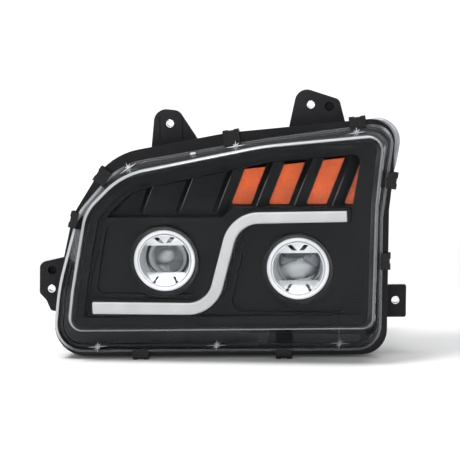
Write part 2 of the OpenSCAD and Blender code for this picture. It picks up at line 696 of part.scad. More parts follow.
module frame_screws() {
    color([0.6, 0.6, 0.62]) home() for (p = [ring_left, ring_right])
        translate(p) four(mount_x, mount_z) screw(mount_y + 4, 11, 3.4);
}
module pivot_studs() {
    color([0.7, 0.7, 0.72]) home() translate([0, tilt_axis[1], tilt_axis[2]]) {
        cross_rod(8, -162 + wall, -152);
        cross_rod(4, -153, -141.5);
        cross_rod(8, 156, 168 - wall);
        cross_rod(4, 145.5, 157);
    }
}
module ball_stud() {
    color([0.8, 0.8, 0.82]) home() translate(adjuster) {
        sphere(r = 5);
        rod(3, 3, 44);
    }
}
module adjuster_body() {
    color([0.85, 0.85, 0.8]) home() at([adjuster[0], adjuster[2]]) difference() {
        union() {
            rod(6, 136, chamber_back + 2);
            rod(12, chamber_back + 1, chamber_back + 5);
        }
        rod(3.06, 130, chamber_back + 9);
    }
}
module adjuster_knob() {
    teeth = 10;
    color([0.9, 0.9, 0.88]) home() at([adjuster[0], adjuster[2]]) {
        rod(3, chamber_back + 2.5, chamber_back + 7);
        difference() {
            rod(10, chamber_back + 5.4, chamber_back + 15);
            for (i = [0:teeth - 1]) rotate([0, 360 / teeth * i, 0])
                translate([11, 0, 0]) rod(2.2, chamber_back + 3, chamber_back + 20);
            block([-5, chamber_back + 11, -1], [5, chamber_back + 20, 1]);
            block([-1, chamber_back + 11, -5], [1, chamber_back + 20, 5]);
        }
    }
}

// ---- rear covers and electrics ------------------------------------------------------------
module rear_cap(p) {
    r = turret_r + wall;
    y = turret_back;
    color([0.1, 0.1, 0.1]) home() translate([p[0], 0, p[2]]) {
        turned([[0, y + 1.3], [r + 2.5, y + 1.3], [r + 2.5, y - 8], [r + 4.5, y - 8],
                [r + 4.5, y + 3], [r + 3, y + 4.5], [0, y + 4.5]]);
        for (a = [0, 120, 240]) rotate([0, a, 0]) lug(r + 0.4, r + 3, y - 8, y - 4.4);
        block([-36, y + 4, -5], [36, y + 16, 5]);
        tube(46, 43, y + 4, y + 7);
        for (i = [0:23]) rotate([0, i * 15, 0])
            translate([r + 4.5, 0, 0]) rod(1.5, y - 7, y + 2.5);
    }
}
module rear_cap_left() { rear_cap(ring_left); }
module rear_cap_right() { rear_cap(ring_right); }
module cap_gaskets() {
    color([0.25, 0.25, 0.25]) home() for (p = [ring_left, ring_right])
        translate([p[0], 0, p[2]])
            tube(turret_r + wall - 0.2, turret_r + 0.2, turret_back, turret_back + 1);
}
module harness_socket() {
    y = chamber_back + 1;
    color([0.08, 0.08, 0.08]) home() translate([2, 0, 186]) difference() {
        union() {
            block([-22, y, -13], [22, y + 3, 13]);
            block([-19, y, -10], [19, y + 20, 10]);
            block([-4, y + 6, 9], [4, y + 14, 12.5]);
        }
        block([-16.5, y + 4, -7.5], [16.5, y + 21, 7.5]);
        for (i = [-2:2], j = [-1, 1]) translate([i * 5.5, 0, j * 3])
            block([-0.8, y - 5, -0.8], [0.8, y + 6, 0.8]);
    }
}
module harness_pins() {
    y = chamber_back + 1;
    color([0.8, 0.7, 0.4]) home() translate([2, 0, 186])
        for (i = [-2:2], j = [-1, 1]) translate([i * 5.5, 0, j * 3])
            block([-0.8, y - 4, -0.8], [0.8, y + 15, 0.8]);
}
module driver_module() {
    y = chamber_back + 1;
    color([0.7, 0.71, 0.73]) home() translate([2, 0, 113]) {
        block([-13.5, y, -36], [13.5, y + 8, 36]);
        difference() {
            block([-26, y + 8, -36], [26, y + 11, 36]);
            four(22, 32) rod(1.8, y + 5, y + 15);
        }
        for (i = [-4:4]) translate([i * 5, 0, 0]) block([-1, y + 10, -33], [1, y + 18, 33]);
    }
}

housing();
seal_bead();
outer_lens();
lens_clips();
outer_bezel();
inner_bezel();
bezel_screws();
bracket_top_left();
bracket_top_right();
bracket_lower_left();
bracket_lower_right();
bracket_screws();
mount_sleeves();
drl_light_guide();
drl_reflector();
drl_board();
drl_leds();
turn_lens();
turn_reflector();
turn_board();
turn_leds();
halo_ring_left();
halo_ring_right();
shroud_left();
shroud_right();
aim_frame();
frame_screws();
pivot_studs();
adjuster_body();
adjuster_knob();
ball_stud();
projector_housing_left();
projector_housing_right();
projector_lens_left();
projector_lens_right();
reflector_left();
reflector_right();
led_board_left();
led_board_right();
heat_sink_left();
heat_sink_right();
fan_frame_left();
fan_frame_right();
fan_rotor_left();
fan_rotor_right();
shield_right();
solenoid_right();
plunger_right();
rear_cap_left();
rear_cap_right();
cap_gaskets();
harness_socket();
harness_pins();
driver_module();
vent_caps();
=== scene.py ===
import json
import math

import bmesh
import bpy
from mathutils import Matrix, Vector


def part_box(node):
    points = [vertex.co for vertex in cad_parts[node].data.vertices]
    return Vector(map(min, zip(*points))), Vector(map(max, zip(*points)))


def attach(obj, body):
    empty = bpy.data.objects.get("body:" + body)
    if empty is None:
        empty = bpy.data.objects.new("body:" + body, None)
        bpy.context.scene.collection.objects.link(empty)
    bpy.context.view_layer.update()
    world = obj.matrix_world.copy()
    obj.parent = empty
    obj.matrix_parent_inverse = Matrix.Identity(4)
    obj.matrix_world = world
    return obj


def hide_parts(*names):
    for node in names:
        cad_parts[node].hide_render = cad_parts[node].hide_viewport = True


# Looks of a car headlight assembly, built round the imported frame. Outlines are in millimetres in
# the lamp's own axes: x to the right, y back from the front of the lens, z up.
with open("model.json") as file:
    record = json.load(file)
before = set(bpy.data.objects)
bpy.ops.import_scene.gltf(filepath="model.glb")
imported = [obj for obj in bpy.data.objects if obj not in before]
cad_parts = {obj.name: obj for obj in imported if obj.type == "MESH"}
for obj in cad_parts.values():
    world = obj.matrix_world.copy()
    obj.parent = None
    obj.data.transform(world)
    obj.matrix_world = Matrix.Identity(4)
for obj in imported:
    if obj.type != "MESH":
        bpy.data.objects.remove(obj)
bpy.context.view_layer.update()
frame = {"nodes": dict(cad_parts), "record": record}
nodes = frame["nodes"]
MM = 0.001

# ---- camera -----------------------------------------------------------------------------
CAMERA_TARGET = Vector((0.020, -0.0492, 0.176))
CAMERA_AZIMUTH, CAMERA_ELEVATION, CAMERA_ROLL = 6, 8, 1.5
CAMERA_DISTANCE, CAMERA_LENS, SENSOR_WIDTH = 2.4, 141.2, 36
CLIP_NEAR, CLIP_FAR = 0.1, 200


def make_camera():
    az, el, roll = (math.radians(a) for a in (CAMERA_AZIMUTH, CAMERA_ELEVATION, CAMERA_ROLL))
    back = Vector((math.sin(az) * math.cos(el), -math.cos(az) * math.cos(el), math.sin(el)))
    level = Vector((math.cos(az), math.sin(az), 0))
    rise = back.cross(level)
    right = level * math.cos(roll) - rise * math.sin(roll)
    up = rise * math.cos(roll) + level * math.sin(roll)
    data = bpy.data.cameras.new("camera")
    data.lens, data.sensor_width = CAMERA_LENS, SENSOR_WIDTH
    data.clip_start, data.clip_end = CLIP_NEAR, CLIP_FAR
    cam = bpy.data.objects.new("camera", data)
    bpy.context.scene.collection.objects.link(cam)
    turn = Matrix((right, up, back)).transposed().to_4x4()
    cam.matrix_world = Matrix.Translation(CAMERA_TARGET + back * CAMERA_DISTANCE) @ turn
    bpy.context.scene.camera = cam


make_camera()

# ---- places, from the frame -------------------------------------------------------------
# The left halo ring's box fixes where the lamp's own axes lie. Its face is set back a little.
SWEEP, FACE_DEPTH, DOME, FLANGE_DEPTH = 5, 20, 6, 64
RING_LEFT, RING_RIGHT = Vector((-88, 50, 128)), Vector((91, 36, 118))
RING_SET = 0.2
ring_low, ring_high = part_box("halo_ring_left")
HOME = Vector(((ring_low.x + ring_high.x) / 2 - RING_LEFT.x * MM,
               ring_low.y - (RING_LEFT.y + RING_SET) * MM,
               (ring_low.z + ring_high.z) / 2 - RING_LEFT.z * MM))


def place(x, y, z):
    """A point of the lamp, in millimetres, in the frame's metres."""
    return HOME + Vector((x, y, z)) * MM


def face_y(x):
    return FACE_DEPTH - x * math.tan(math.radians(SWEEP))


def swept(u, v, z):
    """A point v behind the swept face and u along it."""
    a = math.radians(SWEEP)
    return place(u * math.cos(a) + v * math.sin(a), FACE_DEPTH - u * math.sin(a) + v * math.cos(a), z)


# ---- outlines ---------------------------------------------------------------------------
# Corners [x, z, radius], clockwise as seen from the front
CREST = [(-217, 38, 14), (-209.5, 90, 300), (-188, 195, 55), (-138, 243, 105),
         (50, 279, 400), (204, 292, 15), (193, 205, 60), (186, 46, 12)]
RIM = [(-249, -5, 42), (-237, 92, 300), (-213, 188, 70), (-160, 269, 90),
       (0, 296, 400), (228, 314, 30), (211, 190, 80), (205, -4, 34)]
FLANGE = [(-248, 1, 38), (-236, 92, 300), (-206, 192, 60), (-147, 257, 95),
          (50, 288, 400), (223, 308, 26), (203, 180, 70), (198, 2, 34)]
STRIP_PATH = [(-187, 66, 0), (-25, 66, 43), (9.5, 187, 43), (157.5, 189.5, 0)]
STRIP_WIDTHS = (16, 14)
# Fewest steps round a corner
CORNER_STEPS = 6


def flat(c):
    return Vector((c[0], c[1]))


def side_of(v):
    return Vector((-v.y, v.x))


def turn_of(a, b):
    return math.atan2(a.x * b.y - a.y * b.x, a.dot(b))


def corner_sides(corners, i):
    n = len(corners)
    here = flat(corners[i])
    return (here, (here - flat(corners[i - 1])).normalized(),
            (flat(corners[(i + 1) % n]) - here).normalized())


def grow(corners, d):
    """The outline moved out by d all round."""
    out = []
    for i, c in enumerate(corners):
        here, a, b = corner_sides(corners, i)
        q = here + (side_of(a) + side_of(b)) * d / (1 + side_of(a).dot(side_of(b)))
        out.append((q.x, q.y, max(0.2, c[2] - d * math.copysign(1, turn_of(a, b)))))
    return out


def arc(here, a, b, r, steps):
    turn = turn_of(a, b)
    start = here - a * r * math.tan(abs(turn) / 2)
    hub = start + side_of(a) * r * math.copysign(1, turn)
    out = []
    for k in range(steps + 1):
        t = turn * k / steps
        d = start - hub
        out.append(hub + Vector((d.x * math.cos(t) - d.y * math.sin(t),
                                 d.x * math.sin(t) + d.y * math.cos(t))))
    return out


def steps_for(corners, gap):
    """How many steps each corner and each side takes, so that points lie about gap apart."""
    counts = []
    arcs = []
    for i, c in enumerate(corners):
        here, a, b = corner_sides(corners, i)
        length = abs(turn_of(a, b)) * c[2]
        counts.append(max(CORNER_STEPS, round(length / gap)))
        arcs.append(arc(here, a, b, c[2], 1))
    n = len(corners)
    runs = [max(1, round((arcs[(i + 1) % n][0] - arcs[i][1]).length / gap)) for i in range(n)]
    return counts, runs


def outline(corners, steps):
    """Points round a closed outline with its corners rounded."""
    counts, runs = steps
    n = len(corners)
    arcs = []
    for i, c in enumerate(corners):
        here, a, b = corner_sides(corners, i)
        arcs.append(arc(here, a, b, c[2], counts[i]))
    out = []
    for i in range(n):
        out += arcs[i]
        end, start = arcs[i][-1], arcs[(i + 1) % n][0]
        out += [end.lerp(start, k / runs[i]) for k in range(1, runs[i])]
    return out


# ---- meshes -----------------------------------------------------------------------------
def new_piece(name, points, faces, material, body, stands_for, sharp=40):
    mesh = bpy.data.meshes.new(name)
    mesh.from_pydata([tuple(p) for p in points], [], faces)
    mesh.validate()
    bm = bmesh.new()
    bm.from_mesh(mesh)
    bmesh.ops.recalc_face_normals(bm, faces=bm.faces)
    bm.to_mesh(mesh)
    bm.free()
    mesh.shade_smooth()
    mesh.set_sharp_from_angle(angle=math.radians(sharp))
    mesh.materials.append(material)
    obj = bpy.data.objects.new(name, mesh)
    bpy.context.scene.collection.objects.link(obj)
    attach(obj, body)
    if stands_for:
        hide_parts(*stands_for)
    return obj


def join_rings(rings, close=False, start=0):
    """Quads between neighbouring rings of equal length."""
    n = len(rings[0])
    m = len(rings)
    pairs = range(m if close else m - 1)
    return [(start + k * n + i, start + k * n + (i + 1) % n,
             start + (k + 1) % m * n + (i + 1) % n, start + (k + 1) % m * n + i)
            for k in pairs for i in range(n)]


def set_weights(obj, name, values):
    layer = obj.data.attributes.new(name, "FLOAT", "POINT")
    layer.data.foreach_set("value", values)


# ---- materials --------------------------------------------------------------------------
# Most of a noise texture's values lie between these
NOISE_LOW, NOISE_HIGH = 0.3, 0.7


class Look:
    """A Principled material whose colour, roughness and relief come from noise in object space."""

    def __init__(self, name, colour, rough, metal=0.0, **sockets):
        self.mat = bpy.data.materials.new(name)
        self.mat.use_nodes = True
        self.nodes = self.mat.node_tree.nodes
        self.links = self.mat.node_tree.links
        self.shader = self.nodes["Principled BSDF"]
        self.colour, self.rough = colour, rough
        self.shader.inputs["Base Color"].default_value = (*colour, 1)
        self.shader.inputs["Roughness"].default_value = rough
        self.shader.inputs["Metallic"].default_value = metal
        for key, value in sockets.items():
            self.shader.inputs[key.replace("_", " ")].default_value = value
        self.place = self.nodes.new("ShaderNodeTexCoord").outputs["Object"]

    def node(self, kind, **values):
        made = self.nodes.new("ShaderNode" + kind)
        for key, value in values.items():
            if key in made.inputs:
                made.inputs[key].default_value = value
            else:
                setattr(made, key, value)
        return made

    def stretched(self, scale):
        node = self.node("Mapping", Scale=scale)
        self.links.new(self.place, node.inputs["Vector"])
        return node.outputs["Vector"]

    def noise(self, scale, detail=3.0, stretch=None):
        node = self.node("TexNoise", Scale=scale, Detail=detail)
        self.links.new(self.stretched(stretch) if stretch else self.place, node.inputs["Vector"])
        return node.outputs["Fac"]

    def spread(self, value, low, high):
        node = self.node("MapRange")
        node.inputs["From Min"].default_value = NOISE_LOW
        node.inputs["From Max"].default_value = NOISE_HIGH
        node.inputs["To Min"].default_value = low
        node.inputs["To Max"].default_value = high
        self.links.new(value, node.inputs["Value"])
        return node.outputs["Result"]

    def tone(self, scale, amount):
        """Base colour that drifts lighter and darker."""
        ramp = self.node("ValToRGB")
        darker = tuple(c * (1 - amount) for c in self.colour)
        lighter = tuple(min(1, c * (1 + amount)) for c in self.colour)
        ramp.color_ramp.elements[0].color = (*darker, 1)
        ramp.color_ramp.elements[1].color = (*lighter, 1)
        ramp.color_ramp.elements[0].position, ramp.color_ramp.elements[1].position = 0.35, 0.65
        self.links.new(self.noise(scale), ramp.inputs["Fac"])
        self.links.new(ramp.outputs["Color"], self.shader.inputs["Base Color"])
        return self

    def gloss(self, scale, amount, stretch=None):
        """Roughness that varies by amount each way."""
        low, high = max(0, self.rough - amount), self.rough + amount
        self.links.new(self.spread(self.noise(scale, stretch=stretch), low, high),
                       self.shader.inputs["Roughness"])
        return self

    def relief(self, scale, depth, strength=1.0, stretch=None, detail=3.0):
        """Fine relief of that depth in metres."""
        bump = self.node("Bump", Strength=strength, Distance=depth)
        self.links.new(self.noise(scale, detail, stretch), bump.inputs["Height"])
        if self.shader.inputs["Normal"].is_linked:
            self.links.new(self.shader.inputs["Normal"].links[0].from_socket, bump.inputs["Normal"])
        self.links.new(bump.outputs["Normal"], self.shader.inputs["Normal"])
        return self


def mix_shaders(look, factor, first, second):
    """A shader that goes from the first to the second as factor goes from 0 to 1."""
    mix = look.node("MixShader")
    look.links.new(factor, mix.inputs["Fac"])
    look.links.new(first.outputs[0], mix.inputs[1])
    look.links.new(second.outputs[0], mix.inputs[2])
    return mix


# How fast the clear lens turns mirror-like at a slant, how far it goes and its least shine
MIRROR_POWER, MIRROR_SHARE, MIRROR_LEAST = 5, 0.75, 0.002


def clear_plastic():
    """Thin clear polycarbonate, glossy over what is behind it.

    An attribute mixes in a fixed pale tint along its edges: painted highlights, placed where highlights
    fall and fixed to the lens whatever the light.
    """
    # Its own shader's pale grey is the colour of the painted highlights
    look = Look("clear_polycarbonate", (0.47, 0.48, 0.5), 0.15)
    look.gloss(90, 0.04)
    clear = look.node("BsdfTransparent")
    clear.inputs["Color"].default_value = (0.975, 0.98, 0.985, 1)
    mirror = look.node("BsdfPrincipled", Metallic=1, Roughness=0.03)
    mirror.inputs["Base Color"].default_value = (1, 1, 1, 1)
    facing = look.node("LayerWeight", Blend=0.5)
    steep = look.node("Math", operation="POWER")
    steep.inputs[1].default_value = MIRROR_POWER
    look.links.new(facing.outputs["Facing"], steep.inputs[0])
    shine_share = look.node("Math", operation="MULTIPLY_ADD")
    shine_share.inputs[1].default_value = MIRROR_SHARE
    shine_share.inputs[2].default_value = MIRROR_LEAST
    look.links.new(steep.outputs[0], shine_share.inputs[0])
    edge = look.node("Attribute", attribute_name="painted_edge_highlight").outputs["Fac"]
    glossy = mix_shaders(look, shine_share.outputs[0], clear, mirror)
    shown = mix_shaders(look, edge, glossy, look.shader)
    look.links.new(shown.outputs[0], look.nodes["Material Output"].inputs["Surface"])
    return look.mat


def optic_glass():
    """Cast glass that refracts what is seen through it and lets lamp light in."""
    look = Look("optic_glass", (0.95, 0.98, 1.0), 0.01, Transmission_Weight=1.0, IOR=1.52)
    look.gloss(60, 0.01)
    clear = look.node("BsdfTransparent")
    shadow = look.node("LightPath").outputs["Is Shadow Ray"]
    shown = mix_shaders(look, shadow, look.shader, clear)
    look.links.new(shown.outputs[0], look.nodes["Material Output"].inputs["Surface"])
    return look.mat


# The Mix node's colour sockets, which share their names with its other sockets
MIX_FACTOR, MIX_FIRST, MIX_SECOND, MIX_RESULT = 0, 6, 7, 2
# Colours of the painted highlight on the spots, from their rim to their top
SPOT_DARK, SPOT_BRIGHT = (0.16, 0.16, 0.165), (0.95, 0.95, 0.92)


def painted_reflection_spot():
    """A surface whose brightness is painted by an attribute: a painted highlight, dark at its rim and
    near white at its top.
    """
    look = Look("painted_reflection_spot", SPOT_BRIGHT, 0.3)
    look.gloss(90, 0.05)
    painted_glint = look.node("Attribute", attribute_name="painted_glint").outputs["Fac"]
    mix = look.node("Mix", data_type="RGBA")
    for socket, colour in ((MIX_FIRST, SPOT_DARK), (MIX_SECOND, SPOT_BRIGHT)):
        mix.inputs[socket].default_value = (*colour, 1)
    look.links.new(painted_glint, mix.inputs[MIX_FACTOR])
    look.links.new(mix.outputs[MIX_RESULT], look.shader.inputs["Base Color"])
    return look.mat


CLEAR = clear_plastic()
GLASS = optic_glass()
SPOT = painted_reflection_spot()
# The lens lip's grey stands in for the clear edge's highlights: a painted highlight
LIP = Look("lens_lip_painted_highlight", (0.3, 0.305, 0.33), 0.12).tone(25, 0.35).gloss(60, 0.05)
DULL = {"Specular_IOR_Level": 0.14}
SHELL = Look("black_shell", (0.004, 0.004, 0.005), 0.34, Specular_IOR_Level=0.18).tone(14, 0.25)
SHELL.gloss(40, 0.06).relief(1200, 0.00004, 0.12)
EAR = Look("black_ear", (0.011, 0.011, 0.013), 0.46, **DULL).tone(20, 0.3).gloss(60, 0.06)
EAR.relief(900, 0.00005, 0.15)
BEZEL = Look("bezel_black", (0.0065, 0.007, 0.0072), 0.36, **DULL).tone(10, 0.15).gloss(25, 0.04)
BEZEL.relief(1500, 0.00002, 0.06)
# The fins' edges: a lighter, glossier black than the bezel, a painted highlight along them
FIN_EDGE_HIGHLIGHT = Look("bezel_edge_painted_highlight", (0.05, 0.05, 0.055), 0.22, Specular_IOR_Level=0.9).tone(30, 0.2)
FIN_EDGE_HIGHLIGHT.gloss(60, 0.05)
CLIP = Look("clip_black", (0.004, 0.004, 0.005), 0.24, Specular_IOR_Level=0.25).tone(60, 0.3)
CLIP.gloss(90, 0.06)
BUTYL = Look("butyl_sealant", (0.012, 0.012, 0.012), 0.6).tone(80, 0.3).relief(500, 0.0003, 0.4)
FROST = Look("frosted_guide", (0.5, 0.5, 0.495), 0.35).tone(25, 0.05).gloss(300, 0.06)
HALO = Look("halo_white", (0.95, 0.95, 0.96), 0.25).tone(30, 0.03).gloss(200, 0.05)
AMBER = Look("amber_plastic", (0.75, 0.098, 0.004), 0.28).tone(35, 0.14).gloss(120, 0.05)
AMBER.relief(420, 0.0003, 0.25)
TRAY = Look("white_tray", (0.8, 0.8, 0.8), 0.45).tone(30, 0.05).gloss(60, 0.1)
SILVERED = Look("silvered", (0.9, 0.9, 0.92), 0.1, 1.0).tone(20, 0.04).gloss(40, 0.04)
CHROME = Look("chrome_trim", (0.9, 0.91, 0.92), 0.22, 0.45).tone(30, 0.04).gloss(60, 0.04)
CIRCUIT = Look("circuit_board", (0.02, 0.16, 0.06), 0.4).tone(150, 0.3).relief(900, 0.00005, 0.3)
LED = Look("led_phosphor", (0.9, 0.75, 0.25), 0.4).tone(300, 0.1).gloss(400, 0.1)
ZINC = Look("zinc_plate", (0.62, 0.63, 0.62), 0.3, 1.0).tone(90, 0.15).gloss(200, 0.1)
SLEEVE = Look("sleeve_steel", (0.85, 0.85, 0.85), 0.22, 1.0).tone(60, 0.08)
SLEEVE.gloss(500, 0.08, stretch=(1, 0.05, 1))
CAST = Look("cast_alloy", (0.1, 0.1, 0.105), 0.45, 0.85).tone(60, 0.12).relief(1200, 0.00008, 0.3)
FIN = Look("fin_alloy", (0.16, 0.16, 0.165), 0.45, 0.7).tone(40, 0.08)
FIN.gloss(300, 0.1, stretch=(1, 0.05, 1))
FRAME = Look("frame_plastic", (0.03, 0.03, 0.032), 0.5).tone(25, 0.3).relief(1500, 0.00006, 0.2)
FAN = Look("fan_black", (0.011, 0.011, 0.012), 0.35).tone(50, 0.3).gloss(80, 0.08)
COIL = Look("coil_wrap", (0.05, 0.045, 0.03), 0.45).tone(90, 0.3).relief(700, 0.0002, 0.3, (0.2, 1, 0.2))
DARK = Look("dark_steel", (0.16, 0.16, 0.17), 0.35, 1.0).tone(80, 0.2).gloss(200, 0.1)
NYLON = Look("nylon", (0.7, 0.69, 0.63), 0.4, Subsurface_Weight=0.1).tone(60, 0.06).gloss(120, 0.08)
RUBBER = Look("rubber_black", (0.012, 0.012, 0.012), 0.6, **DULL).tone(30, 0.3)
RUBBER.relief(1100, 0.0001, 0.25)
CONNECTOR = Look("connector", (0.012, 0.012, 0.013), 0.4).tone(70, 0.3).gloss(120, 0.08)
CONTACT = Look("contact_tin", (0.75, 0.66, 0.42), 0.25, 1.0).tone(200, 0.1).gloss(500, 0.1)

SLOT_LOOKS = {"black_shell": SHELL, "black_ear": EAR, "black_bezel": BEZEL, "black_clip": CLIP,
              "butyl": BUTYL, "frosted_guide": FROST, "amber": AMBER, "white_tray": TRAY,
              "silvered": SILVERED, "chrome_trim": CHROME, "halo": HALO, "circuit": CIRCUIT,
              "led": LED, "zinc": ZINC, "sleeve_steel": SLEEVE, "cast_alloy": CAST,
              "fin_alloy": FIN, "frame_plastic": FRAME, "fan_black": FAN, "coil": COIL,
              "dark_steel": DARK, "nylon": NYLON, "rubber_black": RUBBER,
              "connector": CONNECTOR, "contact": CONTACT}


# ---- CAD nodes that stay ----------------------------------------------------------------
# Width of the rounded edges in millimetres: the usual one, and each slot's own
EDGE_WIDTH = 0.35
EDGE_WIDTHS = {"black_shell": 0.5, "black_ear": 0.6, "black_bezel": 0.4, "fin_alloy": 0.25,
               "optic_glass": 0.3, "circuit": 0.1, "led": 0.1, "contact": 0.1}
# Points this close are one, in metres; faces this flat merge; edges this sharp are rounded
WELD_GAP, FLAT_ANGLE, EDGE_ANGLE = 1e-5, math.radians(1), math.radians(32)


def dress(name, slot):
    """Gives a CAD node its material and small rounded edges."""
    obj = nodes[name]
    mat = {"clear_lens": CLEAR, "optic_glass": GLASS}.get(slot) or SLOT_LOOKS[slot].mat
    obj.data.materials.clear()
    obj.data.materials.append(mat)
    obj.modifiers.new("weld", "WELD").merge_threshold = WELD_GAP
    thin = obj.modifiers.new("planar", "DECIMATE")
    thin.decimate_type, thin.angle_limit = "DISSOLVE", FLAT_ANGLE
    edge = obj.modifiers.new("edges", "BEVEL")
    edge.width, edge.segments = EDGE_WIDTHS.get(slot, EDGE_WIDTH) * MM, 2
    edge.limit_method, edge.angle_limit = "ANGLE", EDGE_ANGLE
    edge.use_clamp_overlap = True
    obj.modifiers.new("shading", "WEIGHTED_NORMAL").weight = 60


for part in frame["record"]["subparts"]:
    dress(part["node"], part["material_slot"])


# ---- outer lens -------------------------------------------------------------------------
LENS_WALL, LENS_GAP = 3, 5
# Rings from the tongue in the glue channel to the skirt: growth of the flange's outline, depth
FLANGE_OUTSIDE = ((-4, 80), (-4, 67.2), (-0.3, 67.2), (0, 66.9), (0, 64.5), (-0.5, 64),
                  (-3.2, 64), (-4, 63), (-4.4, 61))
FLANGE_INSIDE = ((-6.5, 80), (-7, 66), (-7, 63.5))
# The flange's rings in front of this depth and outside this growth get its painted highlight
RIM_BACK, RIM_IN = 66, -3.5
# Steps of the curve from the skirt to the face
FILLET = 18
# The face's rings shrink towards its middle, x and z, to these parts of its outline
FACE_MIDDLE = Vector((-5, 160))
FACE_PARTS = (0.95, 0.85, 0.7, 0.55, 0.4, 0.25, 0.1)


def facing(points):
    """Which way a ring's side faces at each point: 0 right, 90 up, 180 left, -90 down."""
    n = len(points)
    return [math.degrees(math.atan2(points[(i + 1) % n].x - points[i - 1].x,
                                    points[i - 1].y - points[(i + 1) % n].y))
            for i in range(n)]


def painted_flange_highlight(turn):
    """How strong the painted highlight on the flange's front is: most on the left and at the top right
    corner.
    """
    left = max(0, math.cos(math.radians(1.4 * min(64, abs(abs(turn) - 180)))))
    corner = max(0, math.cos(math.radians(4 * min(22, abs(turn - 45)))))
    right = max(0, math.cos(math.radians(turn))) ** 4
    return 0.1 + 0.8 * left ** 0.7 + 0.35 * corner + 0.15 * right


def painted_skirt_sheen(turn):
    """How strong the painted sheen on the lens's side wall is: most on top, where the light falls."""
    return 0.01 + 0.035 * max(0, math.sin(math.radians(turn))) ** 2


def painted_crest_highlight(t, turn):
    """How strong the painted highlight on the crest is, a share t round it from the skirt to the face.
    """
    wide = 0.5 + 0.5 * math.cos(math.radians(turn - 165))
    right = max(0, math.cos(math.radians(turn))) ** 4
    low, high = 0.52 - 0.34 * wide - 0.3 * right, 0.66 + 0.2 * wide + 0.1 * right
    ramp = min((t - low) / 0.08, (high - t) / 0.08, 1)
    return max(painted_skirt_sheen(turn) * (t < low), max(0, ramp) * (0.42 + 0.22 * wide - 0.12 * right))


def lens_rings(inset):
    """Rings of one side of the lens, from its tongue to the middle of its face."""
    steps = steps_for(FLANGE, LENS_GAP)

    def ring(corners, d, y):
        return [place(p.x, y, p.y) for p in outline(grow(corners, d), steps)]

    def on_face(d, back):
        return [place(p.x, face_y(p.x) + back, p.y) for p in outline(grow(CREST, d), steps)]

    def dome(part, d, back):
        out = []
        for p in outline(grow(CREST, d), steps):
            x = part * (p.x - FACE_MIDDLE.x) + FACE_MIDDLE.x
            z = part * (p.y - FACE_MIDDLE.y) + FACE_MIDDLE.y
            out.append(place(x, face_y(x) + back - DOME * (1 - part * part), z))
        return out

    turns = facing(outline(CREST, steps))
    rings, highlight_weights = [], []
    if inset == 0:
        for d, y in FLANGE_OUTSIDE:
            rings.append(ring(FLANGE, d, y))
            front = y < RIM_BACK and d > RIM_IN
            highlight_weights.append([painted_flange_highlight(turn) if front else painted_skirt_sheen(turn) if y < FLANGE_DEPTH else 0
                         for turn in turns])
    else:
        for d, y in FLANGE_INSIDE:
            rings.append(ring(FLANGE, d, y))
            highlight_weights.append([0] * len(rings[-1]))
    corner, tail = Vector((4.2 - inset, 0.2 + inset)), Vector((-1.5 - inset, inset))
    head = Vector((5.6 - inset, 8.5 + inset * 0.6))
    for k in range(FILLET + 1):
        t = k / FILLET
        p = head * (1 - t) ** 2 + corner * 2 * t * (1 - t) + tail * t * t
        rings.append(on_face(p.x, p.y))
        highlight_weights.append([inset == 0 and painted_crest_highlight(t, turn) for turn in turns])
    for part in FACE_PARTS:
        rings.append(dome(part, -inset, inset))
        highlight_weights.append([0] * len(rings[-1]))
    return rings, highlight_weights


def lens_cover():
    outside, highlight_out = lens_rings(0)
    inside, highlight_in = lens_rings(LENS_WALL)
    rings = list(reversed(inside)) + outside
    highlight_weights = list(reversed(highlight_in)) + highlight_out
    n = len(rings[0])
    points = [p for r in rings for p in r]
    faces = join_rings(rings)
    weights = [m for ring in highlight_weights for m in ring]
    last = len(rings) - 1
    for ring, first in ((0, True), (last, False)):
        hub = sum((rings[ring][i] for i in range(n)), Vector()) / n
        points.append(hub)
        weights.append(0)
        base = ring * n
        faces += [(len(points) - 1, base + (i + 1) % n, base + i) if first
                  else (len(points) - 1, base + i, base + (i + 1) % n) for i in range(n)]
    obj = new_piece("lens_cover", points, faces, CLEAR, "root", ["outer_lens"], 30)
    set_weights(obj, "painted_edge_highlight", weights)


lens_cover()


# ---- fluted skirt of the bezel ----------------------------------------------------------
FLUTE, FLUTE_DEPTH, FLUTE_POINTS = 3.2, 0.5, 4
# The skin's thickness, and how far it stands inside the flange's and the crest's outlines
SKIN, SKIRT_FOOT, SKIRT_TOP = 0.4, -12, -3
# How far its foot lies behind the flange and its top behind the face
FOOT_SET, TOP_SET = 1.5, 16
# Round the skin: share of the way up, how far it stands out, depth of the flutes
SKIRT_ROWS = [(0.02, 0.1, 0), (0.05, SKIN, 0), (0.09, SKIN, FLUTE_DEPTH),
              (0.3, SKIN, FLUTE_DEPTH), (0.5, SKIN, FLUTE_DEPTH), (0.53, SKIN, 0),
              (0.55, SKIN + 0.9, 0), (0.58, SKIN + 0.9, FLUTE_DEPTH),
              (0.75, SKIN + 0.5, FLUTE_DEPTH), (0.92, SKIN, FLUTE_DEPTH), (0.95, SKIN, 0),
              (0.98, 0.1, 0), (0.98, -0.5, 0), (0.5, -0.5, 0), (0.02, -0.5, 0)]


